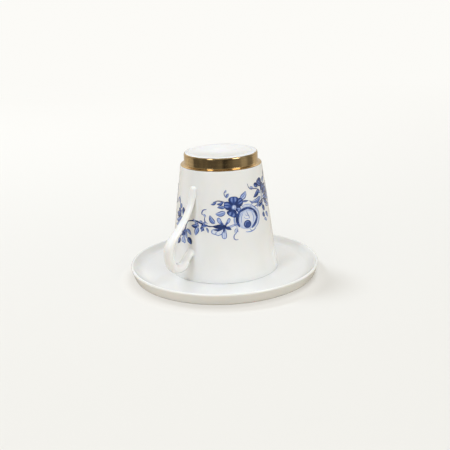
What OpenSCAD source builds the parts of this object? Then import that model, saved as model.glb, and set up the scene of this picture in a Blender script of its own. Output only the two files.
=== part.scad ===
// Porcelain coffee cup with a gilded foot, stored upside down on its saucer.
// The frame stands on the table: +Z is up, the origin is the middle of the saucer's foot ring, the handle points along -X.

/* [Saucer] */
// Diameter across the rim
saucer_d = 122.5; // [112:0.5:160]
// Height of the rim above the table
saucer_h = 9.6; // [7.6:0.1:14]
// Thickness of the flat floor
saucer_floor_t = 4.2; // [3:0.1:4.8]
// Thickness of the rim
saucer_lip_t = 1.9; // [1.4:0.1:2.6]
// How far the rim leans out past the round end of the floor
saucer_lean = 3.1; // [1.5:0.1:8]
// Radius of the hollow between the floor and the rim
saucer_hollow_r = 6; // [2:0.5:10]
// Outer diameter of the foot ring
saucer_foot_d = 84; // [70:1:100]
// Width of the foot ring
saucer_foot_w = 3; // [2.2:0.1:5]
// Height of the foot ring
saucer_foot_h = 1.6; // [1.3:0.1:4]
// Rounding of the foot ring's lower edges
saucer_foot_r = 0.6; // [0.2:0.1:0.9]
// Depth of the well that takes the cup's foot
well_depth = 0.8; // [0.4:0.1:1.5]
// Room round the cup's foot in the well
well_clear = 2; // [0.5:0.1:4]

/* [Cup] */
// Height from the foot to the lip
cup_h = 76.6; // [64:0.1:95]
// Diameter across the mouth
mouth_d = 70; // [60:1:84]
// Thickness of the wall at the ledge
wall_t = 2.4; // [1.8:0.1:3.2]
// Thickness of the wall at the lip
lip_t = 1.9; // [1.4:0.1:2.4]
// Width of the flat land left on the rounded lip
lip_land = 0.2; // [0.1:0.05:0.5]
// Thickness of the base between the inside floor and the recess
base_t = 4.5; // [3.5:0.1:6]
// Radius inside between the floor and the wall
inside_r = 9; // [5:0.5:14]

/* [Foot of the cup] */
// Diameter of the foot
foot_d = 46.5; // [40:0.5:52]
// Height of the foot up to the ledge
foot_h = 7; // [5:0.1:9]
// Width of the ledge between the foot and the cone
ledge_w = 2.5; // [2.2:0.1:6]
// Slope of the ledge, in degrees
ledge_slope = 12; // [0:1:20]
// Rounding of the cone's lower edge on the ledge
shoulder_r = 1.4; // [0.6:0.1:1.8]
// Rounding of the foot's outer edge
foot_edge_r = 1.8; // [0.6:0.1:2]
// Fillet in the corner between the foot and the ledge
foot_fillet_r = 0.6; // [0.3:0.1:0.7]
// Width of the ring that the cup stands on
foot_ring_w = 3.4; // [3:0.1:6]
// Depth of the recess under the foot
foot_recess = 1.5; // [1.3:0.1:3]
// Rounding inside the recess
recess_r = 0.6; // [0.3:0.1:0.7]

/* [Gilding] */
// Thickness of the gold
gold_t = 0.15; // [0.1:0.05:0.25]
// Height of the bare white edge between the foot's end and the gold
gold_edge = 0.4; // [0.2:0.1:3]
// How far the gold goes round the cone's rounded lower edge, in degrees
gold_wrap = 55; // [20:5:70]

/* [Handle] */
// Height of the tail above the foot, where it leaves the wall
tail_z = 20; // [15:0.1:26]
// How far the middle of the tail stands off the wall
tail_proud = 0.5; // [0:0.1:0.8]
// How far the tail follows the wall before it swings out
tail_pull = 20; // [12:0.5:26]
// Reach of the handle's middle line past the wall
handle_reach = 20; // [16:0.5:24]
// Depth below the lip of the point that reaches furthest
reach_drop = 23.5; // [20:0.5:27]
// Length of the bend below that point
reach_pull_low = 9; // [5:0.5:14]
// Length of the bend above that point
reach_pull_high = 5.7; // [3:0.1:8]
// Depth below the lip of the top of the loop
crest_drop = 11; // [9:0.5:14]
// How far the top of the loop stands off the wall
crest_out = 8.7; // [6:0.1:12]
// Length of the bend outside the top of the loop
crest_pull_out = 9; // [5:0.5:12]
// Length of the bend inside the top of the loop
crest_pull_in = 4.7; // [2:0.1:7]
// Depth below the lip of the upper root
root_drop = 18; // [15:0.5:21]
// Length of the run into the upper root
root_pull = 5; // [3:0.5:8]
// Rise of the run out of the upper root, in degrees
root_rise = 10; // [0:1:30]
// Width of the tail
tail_w = 5.2; // [3:0.1:6]
// Thickness of the tail
tail_t = 2.8; // [2.2:0.1:4]
// Length of the tail's rounded tip
tail_tip = 3; // [2:0.1:5]
// Width where the handle reaches furthest
loop_w = 7; // [5:0.1:9]
// Thickness where the handle reaches furthest
loop_t = 5; // [3.5:0.1:6]
// Width at the top of the loop
crest_w = 7.4; // [5:0.1:9]
// Thickness at the top of the loop
crest_t = 6.2; // [4:0.1:7]
// Width of the upper root
root_w = 5.8; // [4:0.1:8]
// Thickness of the upper root
root_t = 4.2; // [3:0.1:6]
// Share of the first bend along which the tail stays slender
slender_share = 0.4; // [0:0.05:0.7]
// Share of the last bend along which the loop narrows to the upper root
root_share = 0.6; // [0.3:0.05:1]

/* [Hidden] */
$fn = 96;
// How far a rounding's cutter reaches past the corner it works on
past = 0.3;
// How much larger a rounding's circle is drawn, so that it crosses its two lines and leaves no sliver
ease = 0.0005;
porcelain = "#f1efea";
gold = "#b58e55";

saucer_lip_r = saucer_lip_t / 2;
floor_z = saucer_foot_h + saucer_floor_t;
floor_end = [saucer_d / 2 - saucer_lip_r - saucer_lean, saucer_foot_h + saucer_floor_t / 2];
rim = [saucer_d / 2 - saucer_lip_r, saucer_h - saucer_lip_r];
well_r = foot_d / 2 + well_clear;

foot_r = foot_d / 2;
base_r = foot_r + ledge_w;
// Height at which the ledge would meet the cone
base_z = foot_h + ledge_w * tan(ledge_slope);
mouth_r = mouth_d / 2;
inside_floor_z = foot_recess + base_t;
lip_r = (lip_t - lip_land) / 2;
cone_a = atan2(cup_h - base_z, mouth_r - base_r);
inner_a = atan2(cup_h - base_z, mouth_r - lip_t - (base_r - wall_t));
recess_x = foot_r - foot_ring_w;
// Centre of the rounding between the ledge and the cone, with half the angle of its corner
shoulder_half = (180 + ledge_slope - cone_a) / 2;
shoulder_a = (180 + ledge_slope + cone_a) / 2;
shoulder = [base_r, base_z] + dir(shoulder_a) * shoulder_r / sin(shoulder_half);

// Rings of the handle: in the rounded tip, in each of its three bends, and round each section
TIP_RINGS = 5;
BEND_RINGS = 13;
HANDLE_SIDES = 20;
// How far the upper root runs on inside the wall before it is cut to it
root_sink = 2.4;

function dir(a) = [cos(a), sin(a)];
function lerp(a, b, t) = a + (b - a) * t;
function smooth(t) = t * t * (3 - 2 * t);
function wall_r(z) = lerp(base_r, mouth_r, (z - base_z) / (cup_h - base_z));
function inner_r(z) = lerp(base_r - wall_t, mouth_r - lip_t, (z - base_z) / (cup_h - base_z));

// Sliver between a sharp corner and its rounding: cut off an outer corner, or added in an inner one.
// The corner is at p, and its two edges leave it at the angles a1 and a2.
module corner_sliver(p, a1, a2, r) {
    half = abs(a2 - a1) / 2;
    middle = dir((a1 + a2) / 2);
    centre = p + middle * r / sin(half);
    t1 = p + dir(a1) * r / tan(half);
    t2 = p + dir(a2) * r / tan(half);
    n1 = (t1 - centre) / r;
    n2 = (t2 - centre) / r;
    outer_corner = centre - middle * (r + past) / sin(half);
    difference() {
        polygon([centre, t1, t1 + n1 * past, outer_corner, t2 + n2 * past, t2]);
        translate(centre) circle(r + ease);
    }
}

// The cup is drawn standing on its foot; this turns it over and stands its lip on the saucer's floor
module upside_down() {
    translate([0, 0, floor_z + cup_h]) rotate([180, 0, 0]) children();
}

// Floor, flaring rim and foot ring in one outline. The floor ends round, and so does the rim.
module saucer_outside() {
    floor_r = saucer_floor_t / 2;
    foot_out = saucer_foot_d / 2;
    foot_in = foot_out - saucer_foot_w;
    slope = atan2(rim.y - floor_end.y, rim.x - floor_end.x);
    spread = acos((floor_r - saucer_lip_r) / norm(rim - floor_end));
    // The rim's outside and inside rise at these angles, and would meet at the apex
    outer_rise = slope + 90 - spread;
    inner_rise = slope - 90 + spread;
    apex = floor_end + (rim - floor_end) * floor_r / (floor_r - saucer_lip_r);
    heel = [floor_end.x + floor_r * tan(outer_rise / 2), saucer_foot_h];
    hollow_reach = saucer_hollow_r * tan(inner_rise / 2);
    hollow_corner = [floor_end.x - floor_r * tan(inner_rise / 2), floor_z];
    hollow_start = hollow_corner - [hollow_reach, 0];
    hollow_end = hollow_corner + hollow_reach * dir(inner_rise);
    hollow_centre = hollow_start + [0, saucer_hollow_r];
    difference() {
        polygon([
            [0, saucer_foot_h], [foot_in, saucer_foot_h], [foot_in, 0], [foot_out, 0], [foot_out, saucer_foot_h],
            heel, apex, hollow_end, hollow_centre, hollow_start, [0, floor_z]
        ]);
        corner_sliver([foot_in, 0], 0, 90, saucer_foot_r);
        corner_sliver([foot_out, 0], 180, 90, saucer_foot_r);
        corner_sliver(heel, 180, outer_rise, floor_r);
        corner_sliver(apex, inner_rise + 180, outer_rise + 180, saucer_lip_r);
        translate(hollow_centre) circle(saucer_hollow_r + ease);
    }
}

module well_section() {
    translate([0, floor_z - well_depth]) square([well_r - well_depth, well_depth + past]);
    intersection() {
        translate([well_r - well_depth, floor_z]) circle(well_depth);
        translate([0, floor_z - well_depth]) square([well_r, well_depth]);
    }
}

module saucer() {
    color(porcelain) rotate_extrude() difference() {
        saucer_outside();
        well_section();
    }
}

// Outside of the cup with its edges rounded, grown outwards all over by a film's thickness
module cup_outside(film = 0) {
    foot_x = foot_r + film;
    fillet_r = foot_fillet_r - film;
    fillet_centre = [
        foot_r + foot_fillet_r, foot_h + foot_fillet_r * (tan(ledge_slope) - 1 / cos(ledge_slope))
    ];
    fillet_end = fillet_centre + fillet_r * dir(90 + ledge_slope);
    base = shoulder - dir(shoulder_a) * (shoulder_r + film) / sin(shoulder_half);
    lip = [mouth_r, cup_h] + film * dir(cone_a - 90);
    difference() {
        polygon([
            [0, -film], [foot_x, -film], [foot_x, fillet_centre.y], fillet_centre, fillet_end,
            base, lip, [0, lip.y]
        ]);
        translate(fillet_centre) circle(fillet_r + ease);
        corner_sliver([foot_x, -film], 180, 90, foot_edge_r + film);
        corner_sliver(base, 180 + ledge_slope, cone_a, shoulder_r + film);
        corner_sliver(lip, 180, cone_a + 180, lip_r);
    }
}

module cup_inside() {
    above = cup_h + past;
    difference() {
        polygon([
            [0, inside_floor_z], [inner_r(inside_floor_z), inside_floor_z], [inner_r(above), above], [0, above]
        ]);
        corner_sliver([inner_r(inside_floor_z), inside_floor_z], 180, inner_a, inside_r);
    }
}

module foot_recess_section() {
    difference() {
        translate([0, -past]) square([recess_x, foot_recess + past]);
        corner_sliver([recess_x, foot_recess], 180, 270, recess_r);
    }
    corner_sliver([recess_x, 0], 0, 90, recess_r);
}

module cup_body() {
    color(porcelain) upside_down() rotate_extrude() difference() {
        cup_outside();
        cup_inside();
        foot_recess_section();
        corner_sliver([mouth_r - lip_t, cup_h], 0, inner_a - 180, lip_r);
    }
}

// The film between the bare edge of the foot and the end of its wrap round the shoulder
module gold_section() {
    far = base_r + shoulder_r;
    wrap_end_z = shoulder.y - (far - shoulder.x) / tan(gold_wrap);
    intersection() {
        difference() {
            cup_outside(gold_t);
            cup_outside();
        }
        polygon([
            [recess_x, gold_edge], [far, gold_edge], [far, wrap_end_z], shoulder, [recess_x, shoulder.y]
        ]);
    }
}

module gold_foot_band() {
    color(gold) upside_down() rotate_extrude() gold_section();
}

// The handle's middle line: radius out from the cup's axis, and height above the foot
reach_z = cup_h - reach_drop;
crest_z = cup_h - crest_drop;
root_z = cup_h - root_drop;
tail = [wall_r(tail_z) + tail_proud, tail_z];
reach = [wall_r(reach_z) + handle_reach, reach_z];
crest = [wall_r(crest_z) + crest_out, crest_z];
root = [wall_r(root_z) - root_sink, root_z];
bends = [
    [tail, tail + tail_pull * dir(cone_a), reach - [0, reach_pull_low], reach],
    [reach, reach + [0, reach_pull_high], crest + [crest_pull_out, 0], crest],
    [crest, crest - [crest_pull_in, 0], root + (root_pull + root_sink) * dir(root_rise), root]
];

function bend_at(p, t) =
    pow(1 - t, 3) * p[0] + 3 * t * pow(1 - t, 2) * p[1] + 3 * t * t * (1 - t) * p[2] + pow(t, 3) * p[3];
function bend_way(p, t) =
    pow(1 - t, 2) * (p[1] - p[0]) + 2 * t * (1 - t) * (p[2] - p[1]) + t * t * (p[3] - p[2]);

// Width and thickness of the section: slender at the tail, fullest at the top of the loop, less at the upper root
function section_size(bend, t) =
    bend == 0 ? lerp([tail_w, tail_t], [loop_w, loop_t], smooth(max(0, t - slender_share) / (1 - slender_share))) :
    bend == 1 ? lerp([loop_w, loop_t], [crest_w, crest_t], smooth(t)) :
    lerp([crest_w, crest_t], [root_w, root_t], smooth(min(1, t / root_share)));

// One ring of the handle: a flattened circle square to the middle line
function ring(centre, way, size) =
    let (u = way / norm(way))
    [for (i = [0 : HANDLE_SIDES - 1])
        let (a = 360 * i / HANDLE_SIDES, q = centre + [-u.y, u.x] * cos(a) * size[1] / 2)
        [-q.x, sin(a) * size[0] / 2, q.y]];

function tip_rings() =
    let (way = dir(cone_a))
    [for (k = [1 : TIP_RINGS - 1])
        let (a = 90 * k / TIP_RINGS)
        ring(tail - way * tail_tip * cos(a), way, [tail_w, tail_t] * sin(a))];

function bend_rings() =
    [for (b = [0 : 2])
        for (k = [b == 0 ? 0 : 1 : BEND_RINGS])
            let (t = k / BEND_RINGS)
            ring(bend_at(bends[b], t), bend_way(bends[b], t), section_size(b, t))];

module handle_loft() {
    rings = concat(tip_rings(), bend_rings());
    n = HANDLE_SIDES;
    last = len(rings) - 1;
    tip = tail - dir(cone_a) * tail_tip;
    points = concat([for (r = rings) each r], [[-tip.x, 0, tip.y], [-root.x, 0, root.y]]);
    tip_i = n * len(rings);
    polyhedron(points, concat(
        [for (i = [0 : n - 1]) [tip_i, i, (i + 1) % n]],
        [for (k = [0 : last - 1]) for (i = [0 : n - 1]) each [
            [k * n + i, (k + 1) * n + i, k * n + (i + 1) % n],
            [k * n + (i + 1) % n, (k + 1) * n + i, (k + 1) * n + (i + 1) % n]
        ]],
        [for (i = [0 : n - 1]) [tip_i + 1, last * n + (i + 1) % n, last * n + i]]
    ));
}

module cup_handle() {
    color(porcelain) upside_down() difference() {
        handle_loft();
        translate([0, 0, base_z]) cylinder(h = cup_h - base_z, r1 = base_r, r2 = mouth_r);
    }
}

saucer();
cup_body();
cup_handle();
gold_foot_band();
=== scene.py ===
import math
from collections import namedtuple

import bmesh
import bpy
from mathutils import Matrix, Vector, noise


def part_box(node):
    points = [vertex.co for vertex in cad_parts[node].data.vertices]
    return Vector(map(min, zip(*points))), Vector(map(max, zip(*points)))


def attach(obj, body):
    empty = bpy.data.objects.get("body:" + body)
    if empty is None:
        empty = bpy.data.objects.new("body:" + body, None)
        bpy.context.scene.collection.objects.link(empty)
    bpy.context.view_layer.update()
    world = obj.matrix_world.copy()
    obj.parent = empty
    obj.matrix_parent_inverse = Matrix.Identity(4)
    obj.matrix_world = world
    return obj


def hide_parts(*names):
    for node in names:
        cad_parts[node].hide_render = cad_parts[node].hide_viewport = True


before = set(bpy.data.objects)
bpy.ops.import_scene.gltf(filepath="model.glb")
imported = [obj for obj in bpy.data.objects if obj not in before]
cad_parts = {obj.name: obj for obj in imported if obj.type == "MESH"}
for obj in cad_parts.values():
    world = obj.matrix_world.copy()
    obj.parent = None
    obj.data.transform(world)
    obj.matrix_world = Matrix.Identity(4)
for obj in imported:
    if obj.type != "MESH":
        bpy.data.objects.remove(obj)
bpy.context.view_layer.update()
SAUCER_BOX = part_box("saucer")
CUP_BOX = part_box("cup_body")

bl_info = {
    "name": "Cup and saucer dressing",
    "version": (1, 0, 0),
    "blender": (4, 5, 0),
    "location": "View3D > Sidebar > Cup",
    "description": "Gives the packed cup and saucer their glaze, gilding and blue garland",
    "category": "Object",
}

MM = 0.001
UP = (0, 0, 1)


def number(name, description, default, **limits):
    """A plain number that the user can change."""
    return bpy.props.FloatProperty(name=name, description=description, default=default, **limits)


def length(name, description, metres):
    """A length that the user can change."""
    return number(name, description, metres, unit="LENGTH", precision=5)


def mm(name, description, millimetres):
    """A length that is given in millimetres."""
    return length(name, description, millimetres * MM)


def section(name, place, width, thickness):
    """Width and thickness of the handle at one place, given in millimetres."""
    return bpy.props.FloatVectorProperty(
        name=name,
        description="Width and thickness " + place,
        size=2,
        default=(width * MM, thickness * MM),
        unit="LENGTH",
    )


def angle(name, description, degrees):
    """An angle that the user can change."""
    return number(name, description, math.radians(degrees), subtype="ANGLE")


def share(name, description, default):
    """A number from 0 to 1 that the user can change."""
    return number(name, description, default, min=0, max=1, subtype="FACTOR")


def count(name, description, default, least):
    """A whole number that the user can change."""
    return bpy.props.IntProperty(name=name, description=description, default=default, min=least)


def colour(name, description, default):
    """A linear colour that the user can change."""
    return bpy.props.FloatVectorProperty(
        name=name, description=description, default=default, min=0, max=1, subtype="COLOR"
    )


class SaucerSizes(bpy.types.PropertyGroup):
    """Sizes of the saucer"""

    rim_radius: length("Rim radius", "From the axis to the outside of the rim", SAUCER_BOX[1].x)
    height: length("Height", "From the table to the top of the rim", SAUCER_BOX[1].z)
    floor: mm("Floor", "Thickness of the flat floor", 4.2)
    lip: mm("Lip", "Thickness of the rim", 1.9)
    lean: mm("Lean", "How far the rim leans out past the round end of the floor", 3.1)
    hollow: mm("Hollow", "Radius of the hollow between the floor and the rim", 6)
    foot_radius: mm("Foot radius", "Outer radius of the foot ring", 42)
    foot_width: mm("Foot width", "Width of the foot ring", 3)
    foot_height: mm("Foot height", "Height of the foot ring", 1.6)
    foot_edge: mm("Foot edge", "Rounding of the foot ring's lower edges", 0.6)
    foot_fillet: mm("Foot fillet", "Glaze in the corners above the foot ring", 0.4)
    well_radius: mm("Well radius", "Radius of the well that takes the cup's foot", 25.25)
    well_depth: mm("Well depth", "Depth of the well", 0.8)


class CupSizes(bpy.types.PropertyGroup):
    """Sizes of the cup, which stands on its lip"""

    foot_z: length("Foot height", "Height of the upturned foot above the table", CUP_BOX[1].z)
    lip_z: length("Lip height", "Height of the lip above the table", CUP_BOX[0].z)
    mouth_radius: mm("Mouth radius", "Radius of the mouth across its outside", 35)
    wall: mm("Wall", "Thickness of the wall at the ledge", 2.4)
    lip: mm("Lip", "Thickness of the wall at the lip", 1.9)
    lip_edge: mm("Lip edge", "Rounding of the lip", 0.3)
    base: mm("Base", "Thickness between the inside floor and the recess", 4.5)
    inside_edge: mm("Inside edge", "Radius inside between the floor and the wall", 9)
    foot_radius: mm("Foot radius", "Radius of the foot", 23.25)
    foot_height: mm("Foot step", "Height of the foot up to the ledge", 7)
    foot_edge: mm("Foot edge", "Rounding of the foot's outer edge", 1.8)
    foot_fillet: mm("Foot fillet", "Fillet between the foot and the ledge", 0.6)
    ledge: mm("Ledge", "Width of the ledge between the foot and the cone", 2.5)
    ledge_slope: angle("Ledge slope", "Slope of the ledge", 12)
    shoulder: mm("Shoulder", "Rounding of the cone's edge on the ledge", 1.4)
    ring: mm("Ring", "Width of the ring that the cup stands on", 3.4)
    recess: mm("Recess", "Depth of the recess under the foot", 1.5)
    recess_slope: mm("Recess slope", "Width of the slope round the recess", 16)
    recess_edge: mm("Recess edge", "Rounding of the recess", 20)


class GildingSizes(bpy.types.PropertyGroup):
    """Sizes of the gold band on the foot"""

    film: mm("Film", "How far the gold stands off the glaze", 0.1)
    sink: mm("Sink", "How far its back reaches under the glaze", 0.05)
    bare_edge: mm("Bare edge", "White edge left above the gold", 0.4)
    wrap: angle("Wrap", "How far the gold goes round the shoulder", 55)
    waver: mm("Waver", "Unsteadiness of the brushed edges", 0.1)
    waver_reach: mm("Waver reach", "How far from its edges the gold wavers", 0.4)
    waver_length: mm("Waver length", "Length of one waver along the edge", 4)


class HandleSizes(bpy.types.PropertyGroup):
    """Sizes of the handle, measured on the cup standing on its foot"""

    tail_z: mm("Tail height", "Height of the tail above the foot", 20)
    tail_proud: mm("Tail stand-off", "How far the tail's middle stands off the wall", 0.5)
    tail_pull: mm("Tail pull", "How far the tail follows the wall", 20)
    tail_tip: mm("Tail tip", "Length of the tail's rounded tip", 3)
    reach: mm("Reach", "Reach of the middle line past the wall", 20)
    reach_drop: mm("Reach drop", "Depth below the lip of the furthest point", 23.5)
    reach_pull_low: mm("Low pull", "Length of the bend on the tail's side", 9)
    reach_pull_high: mm("High pull", "Length of the bend on the loop's side", 5.7)
    crest_drop: mm("Crest drop", "Depth below the lip of the end of the loop", 11)
    crest_out: mm("Crest stand-off", "How far the end of the loop stands off the wall", 8.7)
    crest_pull_out: mm("Outer pull", "Length of the bend outside the loop's end", 9)
    crest_pull_in: mm("Inner pull", "Length of the bend inside the loop's end", 4.7)
    root_drop: mm("Root drop", "Depth below the lip of the root", 18)
    root_pull: mm("Root pull", "Length of the run into the root", 5)
    root_sink: mm("Root sink", "How far the root runs into the wall", 1.6)
    root_rise: angle("Root rise", "Slope of the run out of the root", 10)
    tail_size: section("Tail", "of the tail", 5.2, 2.8)
    loop_size: section("Loop", "at the furthest point", 7, 5)
    crest_size: section("Crest", "at the loop's end", 7.4, 6.2)
    root_size: section("Root", "of the root", 5.8, 4.2)
    slender: share("Slender", "Share of the first bend along which the tail stays slender", 0.4)
    narrowing: share("Narrowing", "Share of the last bend along which the loop narrows", 0.6)
    tail_blend: mm("Tail blend", "Radius of the slip that blends the tail into the wall", 0.9)
    root_blend: mm("Root blend", "Radius of the slip that blends the root into the wall", 1.0)
    sides: count("Sides", "Faces round the handle before it is smoothed", 24, 3)


class GarlandSizes(bpy.types.PropertyGroup):
    """How the garland lies on the wall"""

    lift: mm("Lift", "How far the lowest colour lies off the wall", 0.02)
    layer: mm("Layer", "How far each colour lies above the one below", 0.012)
    band: mm("Band", "Height above the lip at which lengths round the cup are true", 42)
    start: angle("Start", "Where the middle of the first garland lies round the cup", -138.8)
    height: mm("Height", "How far the drawing is moved up the wall", 0.5)
    fullness: number("Fullness", "How full the brush is", 1.3, min=0.3, max=2)
    repeats: count("Repeats", "Garlands round the cup", 2, 1)


class FinishColours(bpy.types.PropertyGroup):
    """Colours of the glaze, the gold and the blue"""

    porcelain: colour("Porcelain", "Glazed porcelain", (0.83, 0.828, 0.808))
    porcelain_thin: colour("Thin glaze", "Porcelain where the glaze runs thin", (0.86, 0.855, 0.835))
    glaze_pool: colour("Pooled glaze", "Glaze where it lies thick", (0.745, 0.737, 0.69))
    biscuit: colour("Biscuit", "Bare fired porcelain on the foot rings", (0.7, 0.694, 0.682))
    gold_bright: colour("Bright gold", "Gold where it lies thick", (0.76, 0.555, 0.285))
    gold_thin: colour("Thin gold", "Gold where the brush left little", (0.62, 0.425, 0.215))
    blue_dark: colour("Dark blue", "Strongest cobalt", (0.019, 0.034, 0.118))
    blue_mid: colour("Middle blue", "Cobalt in one stroke", (0.055, 0.105, 0.34))
    blue_light: colour("Light blue", "Watery cobalt", (0.26, 0.36, 0.66))
    blue_wash: colour("Blue wash", "Faintest cobalt", (0.6, 0.66, 0.8))


class StageSettings(bpy.types.PropertyGroup):
    """Camera, floor and lights"""

    camera_turn: angle("Camera turn", "Direction of the camera round the cup", 220)
    camera_aside: angle("Camera aside", "How far the camera looks to the right of the axis", 0.14)
    camera_away: mm("Camera distance", "Level distance of the camera from the axis", 472.5)
    camera_z: mm("Camera height", "Height of the camera above the table", 178.3)
    camera_pitch: angle("Camera pitch", "How far the camera looks down", 17.085)
    camera_roll: angle("Camera roll", "How far the camera is tipped", -2.035)
    lens: number("Lens", "Focal length", 60.88, unit="CAMERA")
    # Painted shade: the floor is coloured darker in front than the backdrop far behind.
    floor_front: colour("Floor", "Floor in front", (0.828, 0.808, 0.76))
    floor_back: colour("Backdrop", "Backdrop far behind", (0.972, 0.963, 0.93))
    floor_shade: colour("Paper shade", "What darkens the lit paper", (0.06, 0.04, 0))
    floor_bounce: colour("Bounce", "What the floor throws on to the object", (0.51, 0.467, 0.39))
    room_light: colour("Room", "Light from the walls", (0.835, 0.785, 0.695))
    ceiling_light: colour("Ceiling", "Light from the ceiling", (0.375, 0.345, 0.285))
    gloss_blotch: colour("Blotches", "Dim things among the walls in the gloss", (0.2, 0.19, 0.16))
    gloss_ceiling: colour("Gloss ceiling", "Ceiling in the gloss", (0.42, 0.4, 0.35))
    floor_ahead: length("Floor ahead", "How far the floor reaches towards the camera", 1.3)
    floor_behind: length("Floor behind", "How far the floor reaches away from the camera", 1.1)
    floor_side: length("Floor side", "How far the floor reaches to each side", 1.3)
    backdrop: length("Backdrop height", "Height of the backdrop", 1.2)


class Wire:
    """An output socket, so that sums on sockets can be written as expressions."""

    def __init__(self, nodes, socket):
        self.nodes = nodes
        self.socket = socket

    def __add__(self, other):
        return self.nodes.maths("ADD", self, other)

    def __radd__(self, other):
        return self.nodes.maths("ADD", other, self)

    def __sub__(self, other):
        return self.nodes.maths("SUBTRACT", self, other)

    def __rsub__(self, other):
        return self.nodes.maths("SUBTRACT", other, self)

    def __mul__(self, other):
        return self.nodes.maths("MULTIPLY", self, other)

    def __rmul__(self, other):
        return self.nodes.maths("MULTIPLY", other, self)


class Nodes:
    """The node tree of one material or of the world."""

    def __init__(self, tree):
        self.tree = tree

    def node(self, kind, settings=None, sockets=None, output=0):
        """Adds a node, gives it its settings and then the values or wires of its sockets."""
        made = self.tree.nodes.new(kind)
        for key, value in (settings or {}).items():
            if key == "stops":
                self.ramp(made.color_ramp, value)
            else:
                setattr(made, key, value)
        self.plug(made, sockets or {})
        return Wire(self, made.outputs[output])

    def plug(self, made, sockets):
        """Gives sockets of a node their values or wires."""
        for key, value in sockets.items():
            if isinstance(value, Wire):
                self.tree.links.new(value.socket, made.inputs[key])
            else:
                made.inputs[key].default_value = value

    def ramp(self, ramp, stops):
        """Gives a colour ramp its stops."""
        while len(ramp.elements) < len(stops):
            ramp.elements.new(1)
        for element, (place, tint) in zip(ramp.elements, stops):
            element.position = place
            element.color = (*tint, 1)

    def maths(self, operation, first, second=0.0):
        """A sum on one or two numbers."""
        return self.node("ShaderNodeMath", {"operation": operation}, {0: first, 1: second})

    def rise(self, value, low, high):
        """0 at low, 1 at high and smooth between. Low may be the larger."""
        return self.node(
            "ShaderNodeMapRange",
            {"interpolation_type": "SMOOTHSTEP"},
            {"Value": value, "From Min": low, "From Max": high},
        )

    def blend(self, amount, first, second):
        """A colour between two colours."""
        return self.node(
            "ShaderNodeMix", {"data_type": "RGBA"}, {0: amount, 6: tinted(first), 7: tinted(second)}, 2
        )

    def measure(self, operation, first, second=(0, 0, 0)):
        """A number taken from one vector or two."""
        return self.node("ShaderNodeVectorMath", {"operation": operation}, {0: first, 1: second}, "Value")

    def dot(self, first, second):
        """How far one vector runs along another."""
        return self.measure("DOT_PRODUCT", first, second)

    def radius(self, where):
        """How far a place lies from the axis."""
        level = self.node("ShaderNodeVectorMath", {"operation": "MULTIPLY"}, {0: where, 1: (1, 1, 0)})
        return self.measure("LENGTH", level)

    def ray(self, kind):
        """1 for rays of one kind and 0 for the others."""
        return self.node("ShaderNodeLightPath", output=kind)

    def bump(self, height, strength, distance):
        """A normal that follows a height."""
        return self.node(
            "ShaderNodeBump", sockets={"Strength": strength, "Distance": distance, "Height": height}
        )

    def cloud(self, where, scale, detail=2.0, roughness=0.5):
        """Soft noise from 0 to 1."""
        return self.node(
            "ShaderNodeTexNoise",
            sockets={"Vector": where, "Scale": scale, "Detail": detail, "Roughness": roughness},
        )


def tinted(value):
    """A colour as a socket takes it."""
    return value if isinstance(value, Wire) else (*value, 1)


def new_finish(name):
    """A material, its node tree, its surface shader and the place on the surface."""
    made = bpy.data.materials.new(name)
    made.use_nodes = True
    nodes = Nodes(made.node_tree)
    where = nodes.node("ShaderNodeTexCoord", output="Object")
    return made, nodes, made.node_tree.nodes["Principled BSDF"], where


# Marks per metre in the noise of the finishes.
GLAZE_DRIFT = 38
GLAZE_SPECKS = 1400
GLAZE_PEEL = 260
GLAZE_DULLING = 85
BISCUIT_GRAIN = 5200
GOLD_HAIRS = (45, 45, 1500)
GOLD_PATCHES = 180
WATERY_BLUE = 700
PAPER_GRAIN = 900
# Heights over the face of a foot ring at which the glaze starts and at which it covers.
GLAZE_STARTS = 0.15 * MM
GLAZE_COVERS = 0.35 * MM


def glaze_surface(nodes, shader, where, tint, bare=None, clear=0.3):
    """Sets a clear gloss glaze over a colour, and dry biscuit where bare is 1."""
    height = nodes.cloud(where, GLAZE_PEEL)
    roughness = 0.1 + nodes.cloud(where, GLAZE_DULLING, 3) * 0.1
    coat = 0.5
    if bare is not None:
        height = height + nodes.cloud(where, BISCUIT_GRAIN) * bare * 0.4
        roughness = roughness + bare * 0.4
        coat = (1 - bare) * coat
    nodes.plug(shader, {
        "Base Color": tint,
        "Roughness": roughness,
        "Coat Weight": coat,
        "Coat Roughness": 0.04,
        "IOR": 1.5,
        "Subsurface Weight": clear,
        "Subsurface Radius": (0.9, 0.7, 0.5),
        "Subsurface Scale": 2.5 * MM,
        "Normal": nodes.bump(height, 0.12, 0.12 * MM),
    })


def white_tint(nodes, where, colours):
    """Porcelain white with slow drifts in the glaze and a few faint specks."""
    drift = nodes.rise(nodes.cloud(where, GLAZE_DRIFT, 3), 0.3, 0.7)
    specks = nodes.rise(nodes.cloud(where, GLAZE_SPECKS, 0), 0.8, 0.86)
    white = nodes.blend(drift, colours.porcelain, colours.porcelain_thin)
    return nodes.blend(specks * 0.3, white, colours.biscuit)


def saucer_finish(sizes, colours):
    """Glaze that lies thickest in the hollow, and a bare foot ring."""
    made, nodes, shader, where = new_finish("saucer_glaze")
    radius, z = nodes.radius(where), nodes.dot(where, UP)
    hollow = sizes.rim_radius - sizes.lip - sizes.lean
    floor_z = sizes.foot_height + sizes.floor
    gathered = nodes.rise(radius, hollow - 5 * MM, hollow - 1 * MM)
    gathered = gathered * nodes.rise(radius, hollow + 2.5 * MM, hollow)
    gathered = gathered * nodes.rise(z, floor_z - 1 * MM, floor_z)
    bare = nodes.rise(z, GLAZE_COVERS, GLAZE_STARTS)
    tint = nodes.blend(0.22 + gathered * 0.4, white_tint(nodes, where, colours), colours.glaze_pool)
    tint = nodes.blend(bare, tint, colours.biscuit)
    glaze_surface(nodes, shader, where, tint, bare)
    return made


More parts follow.
